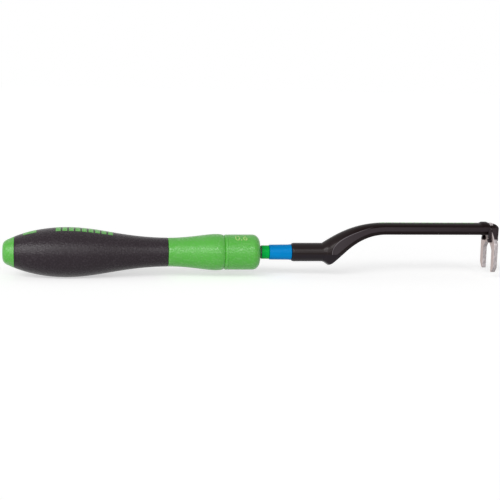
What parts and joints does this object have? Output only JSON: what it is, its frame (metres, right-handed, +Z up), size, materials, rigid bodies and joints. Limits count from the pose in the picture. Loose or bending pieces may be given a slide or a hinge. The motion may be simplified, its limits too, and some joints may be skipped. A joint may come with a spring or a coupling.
{
  "type": "preset torque wrench",
  "caption": "Preset torque wrench turned like a screwdriver: soft-grip handle with a slip clutch and an exchangeable cranked key that ends in an open steel jaw for connector nuts.",
  "frame": {"origin": "middle of the flat butt face, on the tool's long axis", "axes": "+X along the tool's axis from the butt to the jaw, +Z up with the jaw's prongs pointing to -Z"},
  "size_m": [0.2608, 0.0258, 0.0294],
  "materials": {
    "green_plastic": "fine moulded grain, satin",
    "soft_grip_black": "soft-touch elastomer with fine grain",
    "arm_black": "glass-filled nylon, satin",
    "marker_green": "glossy sleeve",
    "marker_blue": "glossy sleeve",
    "bright_steel": "bare stamped and turned steel",
    "dark_steel": "blackened hardened steel",
    "bronze": "sintered bearing bronze"
  },
  "bodies": {
    "handle": {"end_cap": "green_plastic", "handle_core": "green_plastic", "soft_grip": "soft_grip_black", "front_cap": "green_plastic", "clutch_sleeve": "bright_steel", "lock_nut": "dark_steel", "preset_screw": "dark_steel", "rear_spring_washer": "bright_steel", "clutch_spring": "dark_steel", "thrust_washer": "bronze", "bearing_bush": "bronze"},
    "clutch_ring": {"drive_ring": "dark_steel", "front_spring_washer": "bright_steel"},
    "output": {"output_spindle": "dark_steel", "output_disc": "dark_steel", "disc_pin": "bright_steel", "socket_magnet": "bright_steel"},
    "key": {"blade_shaft": "bright_steel", "green_marker_ring": "marker_green", "blue_marker_sleeve": "marker_blue", "key_arm": "arm_black", "jaw_fork": "bright_steel"}
  },
  "joints": [
    {"name": "clutch_slip", "type": "hinge", "parent": "handle", "child": "output", "pos_m": [0.1182, 0, 0], "axis": [1, 0, 0], "continuous": true},
    {"name": "clutch_ring_lift", "type": "slide", "parent": "handle", "child": "clutch_ring", "axis": [-1, 0, 0], "range_m": [0, 0.0012], "stiffness_N_per_m": 1500, "deforming": ["clutch_spring"]},
    {"name": "blade_pull", "type": "slide", "parent": "output", "child": "key", "axis": [1, 0, 0], "range_m": [0, 0.02]}
  ]
}
